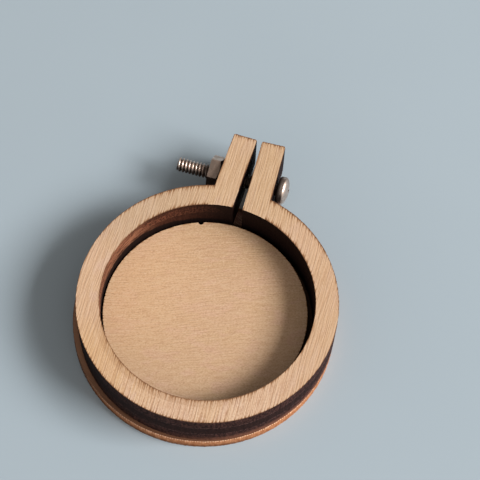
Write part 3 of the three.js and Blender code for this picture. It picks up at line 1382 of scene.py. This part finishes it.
@dataclass
class HexNut(Hardware):
    """The hexagon nut against the left ear."""

    finish: PlatedSteel = PlatedSteel("nut_steel", "E2C8B6", "C6AC9A", gloss=0.34, worn=0.46)
    outer_face: float = -7.93
    thickness: float = 2.1
    across_flats: float = 6.35
    turn: float = 15.0  # degrees that its upper flat is tipped to the front
    chamfer: float = 30.0  # degrees
    mouth: float = 1.75
    room: float = 0.08  # between its thread and the screw's
    crown_steps: int = 96
    mouth_steps: int = 48
    crease: float = 28.0  # degrees
    bore_grime: float = 0.8

    def grime_and_shade(self, place: Signal) -> Signal:
        """Grime inside the bore."""
        bore = Fade(self.mouth, self.thread.root, high=self.bore_grime)
        return bore.at(self.off_axis(place)[1])

    def build(self) -> bpy.types.Object:
        """Models and dresses the nut."""
        flat = self.across_flats / 2
        corner = flat / math.cos(math.pi / 6)
        left, right = self.outer_face, self.outer_face + self.thickness
        middle = (left + self.thickness / 2, *CLAMP[1:])
        size = (corner, self.thickness + self.overrun)
        nut = Workpiece.cylinder("steel_nut", *size, middle, 6, Axis.X)
        turn = {"value": -math.radians(self.turn), "orient_axis": "X", "center_override": middle}
        with nut.editing("FACE"):
            pick(True)
            bpy.ops.transform.rotate(**turn)
        # A turned solid whose chamfer cuts the hexagon's corners on the ear's side
        wide, drop = 2 * corner - flat, (corner - flat) * math.tan(math.radians(self.chamfer))
        crown = [(left, 0.0), (left, wide), (right - 2 * drop, wide), (right, flat), (right, 0.0)]
        nut.cut(self.spun("crown", crown, self.crown_steps), Cut.COMMON)
        ends = (left - self.overrun, right + self.overrun)
        nut.cut(self.thread.rod("tap", ends, self.room))
        root, wide = self.thread.root, self.mouth + self.overrun
        for face, inward in ((left, 1), (right, -1)):
            start, end = face - inward * self.overrun, face + inward * (self.mouth - root)
            profile = [(start, 0.0), (start, wide), (end, root), (end, 0.0)]
            nut.cut(self.spun("mouth", profile, self.mouth_steps))
        obj = self.completed(nut, self.crease)
        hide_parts("hex_nut")
        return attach(obj, "nut")


@dataclass
class Studio:
    """A plain pale floor, soft light from the right, and the camera. Lengths are metres here."""

    floor_size: float = 4.0
    floor_tone: str = "AFBCC4"
    floor_drift: str = "A9B6BE"
    drift: Noise = Noise((0.02, 0.02, 0.02), 2.0, 0.5, 4.0, Fade(0.3, 0.7, high=0.3))
    floor_roughness: float = 0.8
    floor_specular: float = 0.1
    camera_place: Point = (0.031341, -0.113521, 0.257897)
    camera_turn: Point = (27.8106, -1.6295, 15.9445)  # degrees
    lens: float = 110.95  # millimetres, as is the sensor
    sensor: float = 36.0
    nearest: float = 0.01  # the camera sees nothing nearer
    window_place: Point = (1.576, 0.0, 1.231)
    window_size: Pair = (1.07, 0.8)
    window_power: float = 48.0
    sky: float = 0.51  # at the horizon
    sky_tint: Point = (1.0, 0.955, 0.915)
    overhead: Fade = Fade(0.0, 1.0, 1.0, 0.5)  # follows the height: how much of the sky is left
    ceiling: Fade = Fade(0.35, 0.75, 1.0, 0.5)  # the same: how much of that shows in gloss
    sky_lean: Point = (0.25, -0.7, 0.0)  # how much brighter it is to the right and in front
    glow_way: Point = (0.74, 0.28, 0.61)  # where gloss shows the bright wall beside the window
    glow: Fade = Fade(0.8, 0.95, high=1.7)  # follows the nearness to that way

    def floor(self) -> None:
        """Lays the floor."""
        Workpiece.clear_bench()
        bpy.ops.mesh.primitive_plane_add(size=self.floor_size)
        floor = bpy.context.active_object
        floor.name = "floor"
        surface = Surface("pale_floor")
        tone = self.drift.at(surface.place).mix(self.floor_tone, self.floor_drift)
        material = surface.finish(tone, self.floor_roughness, self.floor_specular)
        floor.data.materials.append(material)

    def window(self) -> None:
        """Hangs the window light."""
        lamp = bpy.data.lights.new("window", "AREA")
        lamp.shape = "RECTANGLE"
        lamp.size, lamp.size_y = self.window_size
        lamp.energy = self.window_power
        window = bpy.data.objects.new("window", lamp)
        window.location = self.window_place
        to_hoop = -Vector(self.window_place)
        window.rotation_euler = to_hoop.to_track_quat("-Z", "Y").to_euler()
        bpy.context.scene.collection.objects.link(window)

    def sky_light(self) -> None:
        """Sets the sky, which is darker overhead and in gloss has a bright wall."""
        world = bpy.data.worlds.new("sky")
        world.use_nodes = True
        way = Signal(add_node(world.node_tree, "TexCoord"), "Generated")
        height = way.part("Z")
        glossy = Signal(add_node(world.node_tree, "LightPath"), "Is Glossy Ray")
        unseen = glossy * (1.0 - self.ceiling.at(height))
        drop = self.overhead.at(height) * (1.0 - unseen)
        lean = way.vector("DOT_PRODUCT", self.sky_lean) + 1.0
        glow = self.glow.at(way.vector("DOT_PRODUCT", self.glow_way))
        background = world.node_tree.nodes["Background"]
        feed(background.inputs["Color"], (*self.sky_tint, 1.0))
        feed(background.inputs["Strength"], drop * lean * self.sky + glow * glossy)
        bpy.context.scene.world = world

    def camera(self) -> None:
        """Sets the camera where the photograph was taken from."""
        camera = bpy.data.cameras.new("camera")
        camera.lens = self.lens
        camera.sensor_width = self.sensor
        camera.clip_start = self.nearest
        obj = bpy.data.objects.new("camera", camera)
        obj.location = self.camera_place
        obj.rotation_euler = [math.radians(a) for a in self.camera_turn]
        bpy.context.scene.collection.objects.link(obj)
        bpy.context.scene.camera = obj

    def build(self) -> None:
        """Sets the whole studio up."""
        for step in (self.floor, self.window, self.sky_light, self.camera):
            step()
        bpy.context.scene.view_settings.view_transform = "Standard"


def main() -> None:
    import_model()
    Studio().build()
    for part in (BackPlate(), FabricDisc(), OuterRing(), ClampScrew(), HexNut()):
        obj = part.build()
        log.info("%s: %d faces", obj.name, len(obj.data.polygons))


if __name__ == "__main__":
    logging.basicConfig(level=logging.INFO, format="%(name)s: %(message)s")
    main()
